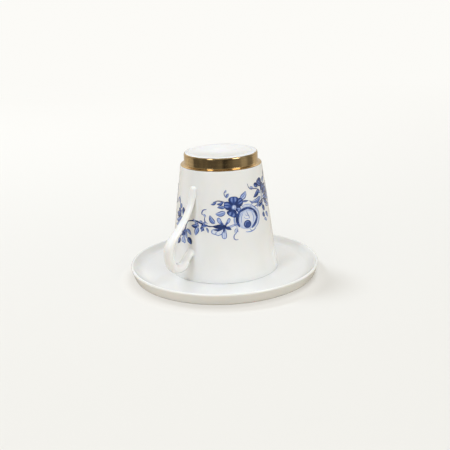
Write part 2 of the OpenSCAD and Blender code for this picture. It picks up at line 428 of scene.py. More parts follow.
def cup_finish(sizes, colours):
    """Glaze that runs thin at the lip, and a bare ring under the foot."""
    made, nodes, shader, where = new_finish("cup_glaze")
    radius, z = nodes.radius(where), nodes.dot(where, UP)
    ring_in = sizes.foot_radius - sizes.ring
    ring_out = sizes.foot_radius - sizes.foot_edge
    bare = nodes.rise(z, sizes.foot_z - GLAZE_COVERS, sizes.foot_z - GLAZE_STARTS)
    bare = bare * nodes.rise(radius, ring_in + 0.1 * MM, ring_in + 0.4 * MM)
    bare = bare * nodes.rise(radius, ring_out + 0.8 * MM, ring_out + 0.5 * MM)
    thin = nodes.rise(z, sizes.lip_z + 1.4 * MM, sizes.lip_z + 0.3 * MM)
    tint = nodes.blend(thin * 0.6, white_tint(nodes, where, colours), colours.porcelain_thin)
    tint = nodes.blend(bare * 0.95, tint, colours.biscuit)
    glaze_surface(nodes, shader, where, tint, bare)
    return made


def handle_finish(colours):
    """Plain glaze all over."""
    made, nodes, shader, where = new_finish("handle_glaze")
    glaze_surface(nodes, shader, where, white_tint(nodes, where, colours))
    return made


def gold_finish(sizes, colours):
    """Brushed gold, worn in patches along its upper edge."""
    made, nodes, shader, where = new_finish("fired_gold")
    brushed = nodes.node("ShaderNodeMapping", sockets={"Vector": where, "Scale": GOLD_HAIRS})
    hairs = nodes.cloud(brushed, 1, 3, 0.6)
    patches = nodes.cloud(where, GOLD_PATCHES, 3)
    worn = nodes.rise(nodes.dot(where, UP), sizes.foot_z - 1.5 * MM, sizes.foot_z - 0.4 * MM)
    worn = worn * nodes.rise(patches, 0.45, 0.7)
    thick = nodes.rise(hairs * 0.6 + patches * 0.4, 0.35, 0.65)
    tint = nodes.blend(thick, colours.gold_thin, colours.gold_bright)
    nodes.plug(shader, {
        "Base Color": nodes.blend(worn * 0.5, tint, colours.biscuit),
        "Metallic": 1.0,
        "Roughness": 0.05 + hairs * 0.11 + worn * 0.15,
        "Normal": nodes.bump(hairs + patches * 0.8, 0.25, 0.1 * MM),
    })
    return made


def blue_finish(colours):
    """Cobalt that is as dark as the pigment painted on each point, under plain glaze."""
    made, nodes, shader, where = new_finish("underglaze_blue")
    pigment = nodes.node("ShaderNodeAttribute", {"attribute_name": "pigment"}, output="Fac")
    watery = nodes.cloud(where, WATERY_BLUE, 3)
    strength = pigment + (watery - 0.5) * 0.3 * pigment
    tint = nodes.node("ShaderNodeValToRGB", {"stops": (
        (0.0, colours.porcelain), (0.15, colours.blue_wash), (0.4, colours.blue_light),
        (0.7, colours.blue_mid), (1.0, colours.blue_dark),
    )}, {"Fac": strength})
    glaze_surface(nodes, shader, where, tint, clear=0.0)
    return made


# Turn between two points on a rounded corner, and how far past its ends the next points lie.
ARC_STEP = math.radians(9)
ARC_END = 0.25 * MM
# Faces round a turned piece, the distance at which two points are one, and a length that counts as none.
SPIN_STEPS = 240
SAME_PLACE = 1e-7
NO_LENGTH = 1e-9
# How near to the gold's upper end a point of the cup's outline is left out.
NEAR_END = 0.05 * MM


def rounded(corners):
    """Points along an outline whose corners are (radius, height, rounding)."""
    points = []
    for i, (r, z, rounding) in enumerate(corners):
        here = Vector((r, z))
        if rounding == 0:
            points.append(here)
            continue
        before = (Vector(corners[i - 1][:2]) - here).normalized()
        after = (Vector(corners[i + 1][:2]) - here).normalized()
        half = before.angle(after) / 2
        tangent = rounding / math.tan(half)
        centre = here + (before + after).normalized() * rounding / math.sin(half)
        arm = here + before * tangent - centre
        turn = math.pi - 2 * half
        if before.cross(after) > 0:
            turn = -turn
        steps = max(3, math.ceil(abs(turn) / ARC_STEP))
        points.append(here + before * (tangent + ARC_END))
        for k in range(steps + 1):
            points.append(centre + Matrix.Rotation(turn * k / steps, 2) @ arm)
        points.append(here + after * (tangent + ARC_END))
    return points


def deselect():
    """Leaves no object selected."""
    bpy.ops.object.select_all(action="DESELECT")


def merge_and_smooth(piece):
    """Merges doubled points, turns the faces outwards and shades them smooth."""
    deselect()
    piece.select_set(True)
    bpy.context.view_layer.objects.active = piece
    bpy.ops.object.mode_set(mode="EDIT")
    bpy.ops.mesh.select_all(action="SELECT")
    bpy.ops.mesh.remove_doubles(threshold=SAME_PLACE)
    bpy.ops.mesh.normals_make_consistent(inside=False)
    bpy.ops.object.mode_set(mode="OBJECT")
    bpy.ops.object.shade_smooth()


def select_edges(piece, wanted):
    """Selects the wanted edges of a piece in edit mode, and nothing else."""
    shape = bmesh.from_edit_mesh(piece.data)
    for part in (shape.faces, shape.edges, shape.verts):
        for item in part:
            item.select = False
    for edge in shape.edges:
        if wanted(*edge.verts):
            edge.select = True
    shape.select_flush(True)
    bmesh.update_edit_mesh(piece.data)


def turned(name, outline, closed=False):
    """Spins an outline round the axis, as on a potter's wheel."""
    deselect()
    bpy.ops.mesh.primitive_circle_add(vertices=len(outline), radius=1)
    piece = bpy.context.object
    piece.name = name
    for vertex, point in zip(piece.data.vertices, outline):
        vertex.co = (point.x, 0, point.y)
    bpy.ops.object.mode_set(mode="EDIT")
    if not closed:
        select_edges(piece, lambda a, b: {a.index, b.index} == {0, len(outline) - 1})
        bpy.ops.mesh.delete(type="EDGE")
    bpy.ops.mesh.select_all(action="SELECT")
    bpy.ops.mesh.spin(steps=SPIN_STEPS, angle=math.tau, center=(0, 0, 0), axis=UP)
    bpy.ops.object.mode_set(mode="OBJECT")
    merge_and_smooth(piece)
    return piece


def grid(name, long, wide):
    """Adds a flat grid and gives for each point its place (0 to 1, 0 to 1)."""
    deselect()
    bpy.ops.mesh.primitive_grid_add(x_subdivisions=long, y_subdivisions=wide, size=2)
    piece = bpy.context.object
    piece.name = name
    return piece, [((v.co.x + 1) / 2, (v.co.y + 1) / 2) for v in piece.data.vertices]


def join(name, pieces):
    """Joins pieces into one."""
    deselect()
    for piece in pieces:
        piece.select_set(True)
    bpy.context.view_layer.objects.active = pieces[0]
    bpy.ops.object.join()
    pieces[0].name = name
    return pieces[0]


def modify(piece, kind, **settings):
    """Gives the active piece a modifier and applies it."""
    made = piece.modifiers.new(kind, kind)
    for key, value in settings.items():
        setattr(made, key, value)
    bpy.ops.object.modifier_apply(modifier=made.name)


def dress(piece, finish, body, slot, *nodes):
    """Gives a piece its finish and its place on the frame."""
    piece.data.materials.clear()
    piece.data.materials.append(finish)
    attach(piece, body)
    if nodes:
        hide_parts(*nodes)


def saucer_outline(s):
    """The saucer's section from the middle of the well over the rim to the middle underneath."""
    lip_r, floor_r = s.lip / 2, s.floor / 2
    floor_z = s.foot_height + s.floor
    floor_end = Vector((s.rim_radius - lip_r - s.lean, s.foot_height + floor_r))
    arm = Vector((s.rim_radius - lip_r, s.height - lip_r)) - floor_end
    slope = math.atan2(arm.y, arm.x)
    spread = math.acos((floor_r - lip_r) / arm.length)
    outer_rise = slope + math.pi / 2 - spread
    inner_rise = slope - math.pi / 2 + spread
    apex = floor_end + arm * floor_r / (floor_r - lip_r)
    return rounded([
        (0, floor_z - s.well_depth, 0),
        (s.well_radius - s.well_depth, floor_z - s.well_depth, s.well_depth),
        (s.well_radius, floor_z, s.well_depth / 2),
        (floor_end.x - floor_r * math.tan(inner_rise / 2), floor_z, s.hollow),
        (apex.x, apex.y, lip_r),
        (floor_end.x + floor_r * math.tan(outer_rise / 2), s.foot_height, floor_r),
        (s.foot_radius, s.foot_height, s.foot_fillet),
        (s.foot_radius, 0, s.foot_edge),
        (s.foot_radius - s.foot_width, 0, s.foot_edge),
        (s.foot_radius - s.foot_width, s.foot_height, s.foot_fillet),
        (0, s.foot_height, 0),
    ])


def base_corner(s):
    """Radius and height at which the ledge would meet the cone."""
    return s.foot_radius + s.ledge, s.foot_z - s.foot_height - s.ledge * math.tan(s.ledge_slope)


def cup_outline(s):
    """The cup's section from the middle of the recess over foot and lip to the middle inside."""
    base_r, base_z = base_corner(s)
    recess_r = s.foot_radius - s.ring
    inside_z = s.foot_z - s.recess - s.base
    inner = Vector((base_r - s.wall, base_z)).lerp(
        Vector((s.mouth_radius - s.lip, s.lip_z)), (base_z - inside_z) / (base_z - s.lip_z)
    )
    return rounded([
        (0, s.foot_z - s.recess, 0),
        (recess_r - s.recess_slope, s.foot_z - s.recess, s.recess_edge),
        (recess_r, s.foot_z, s.recess_edge),
        (s.foot_radius, s.foot_z, s.foot_edge),
        (s.foot_radius, s.foot_z - s.foot_height, s.foot_fillet),
        (base_r, base_z, s.shoulder),
        (s.mouth_radius, s.lip_z, s.lip_edge),
        (s.mouth_radius - s.lip, s.lip_z, s.lip_edge),
        (inner.x, inside_z, s.inside_edge),
        (0, inside_z, 0),
    ])


def wall_radius(s, z):
    """Radius of the cup's outside at a height above the table."""
    base_r, base_z = base_corner(s)
    return s.mouth_radius + (base_r - s.mouth_radius) * (z - s.lip_z) / (base_z - s.lip_z)


def gilded_outline(s, gilding):
    """The gold's section: the cup's outline from the foot's edge to the shoulder, and its back."""
    corner = Vector(base_corner(s))
    inwards = Vector((-math.cos(s.ledge_slope), math.sin(s.ledge_slope)))
    down = (Vector((s.mouth_radius, s.lip_z)) - corner).normalized()
    centre = corner + (inwards + down).normalized() * s.shoulder / math.sin(inwards.angle(down) / 2)
    end = centre + s.shoulder * Vector((math.sin(gilding.wrap), math.cos(gilding.wrap)))
    top = math.asin(1 - gilding.bare_edge / s.foot_edge)
    edge_middle = Vector((s.foot_radius - s.foot_edge, s.foot_z - s.foot_edge))
    start = edge_middle + s.foot_edge * Vector((math.cos(top), math.sin(top)))
    highest = start.y - NEAR_END
    between = [p for p in cup_outline(s) if end.y < p.y < highest and p.x > edge_middle.x]
    outline = [start, *between, end]
    front, back = [], []
    for i, point in enumerate(outline):
        way = outline[min(i + 1, len(outline) - 1)] - outline[max(i - 1, 0)]
        out = Vector((-way.y, way.x)).normalized()
        front.append(point + out * gilding.film)
        back.append(point - out * gilding.sink)
    return front + back[::-1]


# The garland is drawn flat. A place is (degrees round the cup from the garland's middle, mm above the lip).
# Leaves and single strokes: foot, tip, width in mm, strength of the blue, sideways bow.
LEAVES = (
    ((21.5, 51), (30.2, 55.2), 2.8, 0.62, -0.12),
    ((24, 49.4), (33.2, 49.2), 1, 0.9, -0.04),
    ((1.8, 43.9), (-10.2, 42.8), 2.6, 0.66, 0.1),
    ((1, 46.2), (-7.8, 46.7), 1.7, 0.86, -0.1),
    ((-8.8, 50.4), (-15.8, 48.5), 1.2, 0.88, 0.16),
    ((0, 50.1), (-8.4, 48.8), 1.4, 0.9, 0.16),
    ((4, 52.4), (7.2, 54.9), 1.4, 0.78, 0.1),
    ((3.6, 57.3), (1.4, 55.4), 0.7, 0.6, 0.2),
    ((-10.8, 37), (-17, 42), 2.3, 0.8, 0.12),
    ((15.2, 33.4), (12.4, 30.2), 1.4, 0.28, -0.1),
    ((-24.8, 42.5), (-21.4, 41), 1, 0.55, -0.1),
    ((-32, 35), (-41.5, 34.5), 2, 0.92, 0.08),
    ((-31.4, 34), (-35, 28.7), 2.5, 0.74, -0.06),
    ((-30.4, 37.8), (-25.6, 37), 1.1, 0.7, 0.1),
    ((-28.2, 34.7), (-18.6, 35.5), 1.5, 0.9, 0.06),
    ((-29.2, 33.8), (-23.8, 32.2), 1.4, 0.92, 0.1),
    ((-21.2, 34.2), (-18.8, 30.9), 1, 0.8, 0.08),
    ((-35.5, 37.4), (-39.6, 38.9), 0.9, 0.6, 0.12),
    ((-49.6, 31), (-58.4, 26.6), 2.4, 0.94, 0.1),
    ((-49.8, 31.2), (-41.2, 28.4), 1.9, 0.72, 0.12),
    ((-46.6, 26.4), (-40.2, 22.6), 2.7, 0.96, 0.06),
    ((-60.6, 24.8), (-66.4, 20.2), 2.2, 0.97, 0.08),
    ((-52.6, 34), (-58.6, 33), 1.2, 0.6, 0.1),
    ((-58.8, 44.2), (-56.2, 38.4), 2.6, 0.98, 0.05),
    ((-62.6, 43), (-67.4, 45.8), 2.5, 0.87, -0.1),
    ((-63.6, 40.2), (-75.4, 39), 2.5, 0.93, 0.06),
    ((-62.8, 36.8), (-75.4, 34.4), 2, 0.81, 0.06),
    ((-64.4, 34.4), (-76.4, 31.4), 1.7, 0.65, 0.08),
    ((37.2, 56.9), (43, 55.4), 1, 0.66, 0.14),
    ((44.6, 58), (51.8, 55.6), 2.3, 0.95, 0.12),
    ((53.6, 54.4), (41.4, 50.2), 2.3, 0.98, 0.08),
    ((55.4, 49.4), (40, 47.2), 2.3, 0.8, 0.06),
    ((42, 47.2), (34.4, 49), 0.9, 0.86, 0.1),
    ((48.8, 44), (60.4, 46.6), 1.6, 0.95, -0.08),
    ((36.4, 46.4), (50, 48.4), 1, 0.3, 0.12),
    ((56.6, 43.6), (60.8, 39.8), 2.2, 0.95, 0.1),
    ((56.4, 39.4), (59.8, 36), 1.9, 0.93, -0.1),
    ((57.6, 35), (63.6, 32.6), 1.4, 0.55, 0.14),
    ((63.6, 52.4), (78.4, 51), 2.7, 0.98, 0.08),
    ((65.6, 47.4), (80.4, 45.4), 2.6, 0.89, 0.1),
    ((65.8, 42.6), (80.2, 41), 2.2, 0.77, 0.08),
    ((61.8, 55), (76.4, 55.8), 2.2, 0.95, -0.06),
    ((82, 49.2), (92.4, 48), 2.1, 0.97, 0.1),
    ((89.8, 46.4), (100.4, 45), 2, 0.85, 0.1),
    ((84, 45.6), (89, 42.4), 1.7, 0.71, -0.08),
    ((62, 50.4), (71, 53.8), 2.9, 0.98, 0.1),
    ((60.6, 48.6), (70.6, 49.8), 2, 0.85, -0.1),
    ((62.4, 46.2), (73, 43.4), 2.9, 0.98, 0.1),
    ((56.4, 51.8), (48.4, 53.4), 1.6, 0.7, -0.1),
    ((58.6, 52.6), (66.4, 57.4), 2.3, 0.98, 0.1),
    ((50.6, 46.6), (46.4, 43.6), 1.4, 0.7, -0.1),
    ((66, 57.6), (74.6, 60.4), 2.1, 0.85, 0.1),
    ((74, 60.8), (78, 64), 1.2, 0.95, 0.1),
    ((63.4, 38.6), (68.4, 34.6), 2, 0.81, 0.08),
    ((73.6, 47.6), (84.4, 50.6), 2.5, 0.98, 0.1),
    ((-62.6, 41), (-70, 42.6), 2.3, 0.98, 0.08),
    ((-62.8, 38.6), (-73, 37.2), 2.2, 0.98, -0.08),
    ((-62.2, 36), (-55.6, 37.6), 2.1, 0.85, 0.1),
    ((-66.4, 46), (-70.8, 50.4), 1.6, 0.85, 0.1),
    ((-62.4, 33), (-70.2, 29.2), 2.1, 0.89, 0.08),
    ((-51.8, 30), (-48, 25.6), 1.7, 0.62, 0.06),
    ((-55.6, 29.2), (-61.6, 29.6), 2, 0.95, -0.1),
    ((-36.6, 36.8), (-33, 35.2), 1.1, 0.8, 0.06),
    ((-25, 35.6), (-21.6, 38), 1.1, 0.8, 0.1),
    ((-24.2, 34), (-27.4, 31.4), 1.2, 0.86, -0.08),
)
# Stems and tendrils: places along the line, width in mm, strength of the blue.
STEMS = (
    (((6, 49), (-1, 50.2), (-7, 50.7), (-13, 49.8)), 0.46, 0.9),
    (((3.2, 57), (1.2, 55.2), (2.2, 53.4), (4.4, 52.2)), 0.41, 0.7),
    (((16, 32.6), (14, 30.9), (11, 29.3), (10.6, 27.3), (12.8, 26.4), (15.4, 26.5)), 0.46, 0.6),
    (((12.4, 33.2), (14.4, 32.4), (16.4, 31)), 0.31, 0.5),
    (((-21.2, 45.4), (-25.5, 44.8), (-27.2, 43), (-26.2, 41.8)), 0.57, 0.7),
    (((-22.6, 41.4), (-23.6, 39.2), (-22.4, 37.6), (-19.6, 36.8)), 0.46, 0.75),
    (((-48, 36.4), (-42, 37.4), (-34, 37.6), (-27, 36.4), (-18.6, 35.2), (-12, 35.2)), 0.81, 0.95),
    (((-33, 37.4), (-32, 35.8), (-30.6, 34.2)), 0.47, 0.85),
    (((-47.5, 36.5), (-50, 34.4), (-51.4, 31.6), (-55, 29), (-61, 25)), 0.68, 0.95),
    (((-61, 25), (-62, 30), (-63, 36), (-62.4, 42)), 0.54, 0.85),
    (((-66, 43.4), (-68, 47.2), (-72, 48.8), (-76, 47.2), (-75, 45.8)), 0.49, 0.65),
    (((34, 59.4), (35.2, 57.2), (38.5, 55.7), (43, 55.6), (50, 54.8), (56, 53)), 0.46, 0.85),
    (((41, 44.6), (50, 45.6), (57, 47), (66, 47.2), (75, 46.2), (84, 46.6), (92, 46)), 0.68, 0.95),
    (((57, 47), (58.5, 51), (60, 54.4), (60.4, 57)), 0.61, 0.95),
    (((57, 46.8), (58, 44), (57.6, 40), (57.4, 36)), 0.46, 0.75),
    (((84, 47), (87.4, 49.6), (88.4, 52)), 0.46, 0.85),
    (((25, 49.6), (23.4, 47.6), (19, 46.4)), 0.54, 0.95),
    (((33, 45.2), (38, 46.6), (44, 47.6), (52, 47.8)), 0.29, 0.47),
    (((18, 36.2), (11, 35.2), (4, 34.6)), 0.46, 0.65),
    (((28.8, 43.2), (29.6, 41.2), (31.6, 39.4), (31.2, 38)), 0.41, 0.57),
    (((23.4, 42), (21.2, 39.6), (20.8, 36.4)), 0.37, 0.45),
    (((36, 41.6), (38, 38.8), (37.2, 35.6)), 0.37, 0.45),
    (((24.6, 39.8), (26.4, 38.6), (29.4, 38.4), (32.6, 38.8)), 0.29, 0.41),
    (((26, 41.6), (28, 40.2), (30.4, 40)), 0.29, 0.39),
    (((15, 42.4), (12.6, 40.2), (12.8, 37), (15.2, 34.6)), 0.29, 0.51),
    (((31, 32), (33, 30.7), (36.2, 30.6), (39.4, 31.8)), 0.31, 0.55),
    (((40, 32), (44.4, 33.8), (47.4, 37.4), (47.8, 40.6), (45.4, 43.2)), 0.31, 0.55),
    (((17.4, 45.2), (19.2, 46.8), (22.8, 46.6), (25.4, 45.6)), 0.31, 0.55),
    (((34, 45), (37.6, 45.4), (41.2, 44.2), (43.4, 42.6)), 0.31, 0.51),
)
# Petals: foot, tip, width in mm, strength of the blue, sideways bow.
PETALS = (
    ((12.5, 47.6), (12.8, 52.9), 5.2, 0.86, 0),
    ((14.6, 47.4), (24.8, 50.2), 3.6, 0.95, 0.05),
    ((10.2, 46.8), (0.2, 47.9), 3.6, 0.84, -0.08),
    ((11.8, 45.2), (8.2, 40.9), 5.4, 0.9, 0.04),
    ((14.8, 45.4), (20.2, 44), 2.6, 0.6, 0.1),
    ((-1.2, 36.3), (-7.2, 40.5), 1.9, 0.44, 0.1),
    ((1.2, 36.2), (6.6, 40), 1.5, 0.44, -0.1),
    ((-0.6, 33.9), (-15.4, 32), 2.8, 0.12, 0.12),
    ((-0.8, 33.6), (-10.2, 30.4), 2.4, 0.1, 0.1),
    ((0.6, 33.8), (-0.2, 27.4), 2.4, 0.26, -0.05),
    ((2.2, 34.8), (12.6, 35.8), 1, 0.34, -0.08),
    ((-53, 27.8), (-56.6, 22.6), 2, 0.3, 0.1),
    ((-52.6, 27.6), (-51, 22.2), 2, 0.34, -0.1),
    ((70, 49.6), (77, 53), 2.6, 0.86, 0.1),
    ((70, 49.2), (79, 48.6), 2.4, 0.7, -0.1),
    ((63.4, 56.6), (51.4, 59.6), 3, 0.97, 0.12),
    ((88.2, 51.6), (91, 55.6), 2.4, 0.9, 0.1),
    ((88.2, 51.8), (85.6, 54.8), 1.8, 0.6, -0.1),
)
# Dark strokes of the lily and the blossom, laid over their petals.
ACCENTS = (
    ((11, 48), (6.6, 51.2), 1.1, 0.96, 0.1),
    ((14.2, 48), (18.4, 51.4), 1.1, 0.96, -0.1),
    ((15, 46.6), (23, 47.4), 1.5, 0.95, -0.06),
    ((10, 46), (2.4, 45.6), 1.3, 0.95, 0.08),
    ((10.6, 45.2), (5, 43.4), 1.2, 0.95, -0.06),
    ((13.4, 44.8), (13.6, 41.4), 1.2, 0.92, 0.06),
    ((14.8, 45.4), (17.4, 43.2), 1, 0.9, 0.06),
    ((0.8, 35.8), (-14, 35.2), 2.1, 0.98, 0.06),
    ((-0.2, 34.4), (-12.8, 33), 1, 0.92, 0.1),
    ((1.2, 34.2), (8.2, 32.8), 1.5, 0.85, 0.1),
    ((0.4, 35), (-0.6, 31), 1, 0.85, -0.05),
    ((-0.2, 35.4), (-4.2, 38.2), 0.8, 0.8, 0.1),
    ((0.8, 35.4), (4, 38), 0.7, 0.75, -0.1),
)
ROSE = (29.2, 38.4)
# Rounds of the rose, the bud and the hearts: layer, middle, half width and half height in mm,
# inner share, first and last angle, strength at the start, in the middle and at the end.
ROUNDS = (
    (0, ROSE, 9.7, 8.2, 0.93, -58, 12, (0.25, 0.42, 0.3)),
    (0, ROSE, 9.5, 8.6, 0.93, 8, 62, (0.25, 0.42, 0.3)),
    (0, ROSE, 9.2, 8.9, 0.93, 58, 112, (0.2, 0.36, 0.2)),
    (0, ROSE, 9.3, 8, 0.93, 140, 214, (0.2, 0.38, 0.25)),
    (0, (31, 38.3), 8.2, 8.6, 0.92, -112, -56, (0.3, 0.5, 0.3)),
    (0, ROSE, 9.2, 8, 0.82, -60, 220, (0.12, 0.19, 0.12)),
    (1, ROSE, 7.8, 6.5, 0, 0, 360, (0.27, 0.1, 0.04)),
    (2, ROSE, 8, 6.8, 0.75, 126, 222, (0.7, 0.96, 0.76)),
    (3, (29.2, 38.5), 8.1, 7, 0.77, 74, 140, (0.72, 0.9, 0.78)),
    (2, ROSE, 7.9, 6.9, 0.8, 36, 92, (0.76, 0.94, 0.66)),
    (3, ROSE, 8.1, 6.8, 0.76, -12, 52, (0.74, 0.97, 0.8)),
    (2, (29.2, 38.3), 7.9, 6.8, 0.76, -72, -2, (0.6, 0.84, 0.72)),
    (4, ROSE, 6.3, 5.3, 0.9, 16, 96, (0.2, 0.42, 0.26)),
    (4, ROSE, 6, 5.2, 0.9, 104, 196, (0.24, 0.4, 0.24)),
    (4, (28.5, 35), 2.6, 2.5, 0, 0, 360, (0.92, 0.8, 0.86)),
    (5, (28.5, 35), 2, 1.9, 0.66, 60, 200, (0.5, 0.6, 0.5)),
    (5, (57.6, 58.8), 2.7, 2.3, 0, 0, 360, (0.97, 0.88, 0.97)),
    (7, (12.6, 46.4), 1.55, 1.5, 0, 0, 360, (0.3, 0.2, 0.14)),
    (8, (12.6, 46.4), 1.55, 1.5, 0.72, 20, 320, (0.5, 0.66, 0.45)),
    (8, (12.4, 46.2), 0.9, 0.9, 0.6, 180, 420, (0.3, 0.5, 0.4)),
    (8, (0.4, 34.9), 1.2, 1.15, 0, 0, 360, (1, 1, 1)),
    (8, (-53.4, 28.4), 1.3, 1.2, 0, 0, 360, (0.9, 0.9, 0.9)),
    (8, (69.4, 49.4), 1.2, 1.2, 0, 0, 360, (1, 1, 1)),
)


def bezier(p, t):
    """A point on a bend with four control points, and its direction there."""
    k = 1 - t
    at = p[0] * k ** 3 + p[1] * 3 * t * k * k + p[2] * 3 * t * t * k + p[3] * t ** 3
    way = (p[1] - p[0]) * k * k + (p[2] - p[1]) * 2 * t * k + (p[3] - p[2]) * t * t
    return at, way.normalized()


def ease(value, low, high):
    """0 at low, 1 at high and smooth between. Low may be the larger."""
    t = min(1, max(0, (value - low) / (high - low)))
    return t * t * (3 - 2 * t)


# Sections on the rounded tip of the handle's tail, and on each of its three bends.
TIP_STEPS = 7
BEND_STEPS = 20


def handle_stations(h, s):
    """Sections along the handle as (middle, direction, half width and thickness, blend radius)."""
    cup_h = s.foot_z - s.lip_z

    def off_wall(z, out):
        """A place at a height above the foot that stands off the wall."""
        return Vector((wall_radius(s, s.foot_z - z) + out, z))

    base_r, base_z = base_corner(s)
    slope = math.atan2(base_z - s.lip_z, s.mouth_radius - base_r)
    up = Vector((math.cos(slope), math.sin(slope)))
    tail = off_wall(h.tail_z, h.tail_proud)
    reach = off_wall(cup_h - h.reach_drop, h.reach)
    crest = off_wall(cup_h - h.crest_drop, h.crest_out)
    root = off_wall(cup_h - h.root_drop, -h.root_sink)
    run = Vector((math.cos(h.root_rise), math.sin(h.root_rise))) * (h.root_pull + h.root_sink)
    bends = (
        (tail, tail + up * h.tail_pull, reach - Vector((0, h.reach_pull_low)), reach),
        (reach, reach + Vector((0, h.reach_pull_high)), crest + Vector((h.crest_pull_out, 0)), crest),
        (crest, crest - Vector((h.crest_pull_in, 0)), root + run, root),
    )
    sizes = [Vector(size) / 2 for size in (h.tail_size, h.loop_size, h.crest_size, h.root_size)]
    shares = (
        lambda t: ease(t, h.slender, 1),
        lambda t: ease(t, 0, 1),
        lambda t: ease(t, 0, h.narrowing),
    )
    stations = []
    for k in range(TIP_STEPS):
        a = math.pi / 2 * k / TIP_STEPS
        stations.append((tail - up * h.tail_tip * math.cos(a), up, sizes[0] * math.sin(a), h.tail_blend))
    for b, (bend, part) in enumerate(zip(bends, shares)):
        blend = h.tail_blend if b == 0 else h.root_blend
        for k in range(0 if b == 0 else 1, BEND_STEPS + 1):
            t = k / BEND_STEPS
            at, way = bezier(bend, t)
            stations.append((at, way, sizes[b].lerp(sizes[b + 1], part(t)), blend))
    stations.append((root, way, Vector((0, 0)), h.root_blend))
    return stations


def handle_point(s, station, around):
    """A point of the handle's skin, pushed out along the wall where slip fills the corner."""
    middle, way, size, blend = station
    a = math.tau * around
    side = Vector((-way.y, way.x))
    q = middle + side * math.cos(a) * size.y
    centre = Vector((-middle.x, 0, s.foot_z - middle.y))
    point = Vector((-q.x, math.sin(a) * size.x, s.foot_z - q.y))
    gap = math.hypot(point.x, point.y) - wall_radius(s, point.z)
    if gap < blend:
        out = Vector((point.x, point.y, 0)).normalized()
        arm = point - centre
        arm -= out * arm.dot(out)
        left = blend - max(gap, 0)
        if arm.length > NO_LENGTH:
            point += arm.normalized() * (blend - math.sqrt(max(0, blend * blend - left * left)))
    return point


class CUP_OT_saucer(bpy.types.Operator):
    """Turns the saucer and glazes it"""

    bl_idname = "cup_set.saucer"
    bl_label = "Saucer"

    def execute(self, context):
        scene = context.scene
        sizes = scene.saucer_sizes
        piece = turned("saucer_dish", saucer_outline(sizes))
        finish = saucer_finish(sizes, scene.finish_colours)
        dress(piece, finish, "saucer", "saucer_glaze", "saucer")
        return {"FINISHED"}


class CUP_OT_cup(bpy.types.Operator):
    """Turns the cup's body and glazes it"""

    bl_idname = "cup_set.cup"
    bl_label = "Cup body"

    def execute(self, context):
        scene = context.scene
        sizes = scene.cup_sizes
        piece = turned("cup_wall", cup_outline(sizes))
        finish = cup_finish(sizes, scene.finish_colours)
        dress(piece, finish, "cup", "cup_glaze", "cup_body")
        return {"FINISHED"}


class CUP_OT_handle(bpy.types.Operator):
    """Draws the handle out from its slender tail, round its loop and into its root"""

    bl_idname = "cup_set.handle"
    bl_label = "Handle"

    def execute(self, context):
        scene = context.scene
        h, s = scene.handle_sizes, scene.cup_sizes
        stations = handle_stations(h, s)
        last = len(stations) - 1
        piece, places = grid("ear_handle", last, h.sides)
        for vertex, (along, around) in zip(piece.data.vertices, places):
            vertex.co = handle_point(s, stations[round(along * last)], around)
        merge_and_smooth(piece)
        modify(piece, "SUBSURF", levels=1, render_levels=1)
        bpy.ops.object.shade_smooth()
        dress(piece, handle_finish(scene.finish_colours), "cup", "cup_glaze", "cup_handle")
        return {"FINISHED"}


class CUP_OT_gilding(bpy.types.Operator):
    """Brushes gold round the foot and the ledge"""

    bl_idname = "cup_set.gilding"
    bl_label = "Gold band"

    def execute(self, context):
        scene = context.scene
        s, gilding = scene.cup_sizes, scene.gilding_sizes
        outline = gilded_outline(s, gilding)
        piece = turned("gold_band", outline, closed=True)
        top, bottom = max(p.y for p in outline), min(p.y for p in outline)
        for vertex in piece.data.vertices:
            x, y, z = vertex.co
            ends = ease(min(top - z, z - bottom), gilding.waver_reach, 0)
            level = Vector((x, y, 0)) / gilding.waver_length
            vertex.co.z += gilding.waver * ends * noise.noise(level)
        dress(piece, gold_finish(s, scene.finish_colours), "cup", "fired_gold", "gold_foot_band")
        return {"FINISHED"}


def drawn(points, t):
    """A place on a smooth line through some points, and the way square to the line there."""
    last = len(points) - 1
    k = min(int(t * last), last - 1)
    u = t * last - k
    a, b, c, d = (points[min(max(k + i, 0), last)] for i in (-1, 0, 1, 2))
    once, twice, thrice = c - a, 2 * a - 5 * b + 4 * c - d, 3 * b - a - 3 * c + d
    at = b + (once * u + twice * u * u + thrice * u ** 3) / 2
    way = (once + 2 * twice * u + 3 * thrice * u * u).normalized()
    return at, Vector((-way.y, way.x))


def leaf_width(t):
    """Pointed at both ends, and widest before the middle."""
    return math.sin(math.pi * t ** 0.8) if 0 < t < 1 else 0


def petal_width(t):
    """Narrow at the foot and round at the tip."""
    tip = max(0, t - 0.62) / 0.38
    return (0.4 + 0.6 * ease(t, 0, 0.6)) * math.sqrt(max(0, 1 - tip * tip))


def stem_width(t):
    """A little thinner towards both ends."""
    return 0.4 + 0.6 * math.sin(math.pi * t)


def leaf_tone(strength, t, s):
    """A thin wash that is fuller on one half, with a dark outline and vein."""
    across = abs(2 * s - 1)
    full = strength ** 2 + 0.35 * ease(strength, 0.85, 0.95)
    wash = full * (0.42 + 0.4 * ease(s, 0.375, 0.792))
    line = max(ease(across, 0.5, 0.8), 0.85 * ease(across, 0.26, 0))
    return wash + (0.58 + 0.4 * strength - wash) * line


def petal_tone(strength, t, s):
    """A dark outline, and light streaks from the heart outwards."""
    across = abs(2 * s - 1)
    streak = max(ease(abs(across - 0.4), 0.28, 0), 0.6 * ease(across, 0.16, 0))
    streak *= ease(t, 0.25, 0.55) * ease(t, 0.97, 0.85)
    outline = max(ease(across, 0.55, 0.85), ease(t, 0.86, 0.96))
    tone = strength * (1 - 0.62 * streak)
    return tone + max(0, 0.55 + 0.42 * strength - tone) * outline


def plain_tone(strength, t, s):
    """The same blue all over."""
    return strength


# Which layer of colour each kind of stroke lies in. The rounds name their own.
STEM_LAYER, LEAF_LAYER, PETAL_LAYER, ACCENT_LAYER = 4, 5, 6, 7
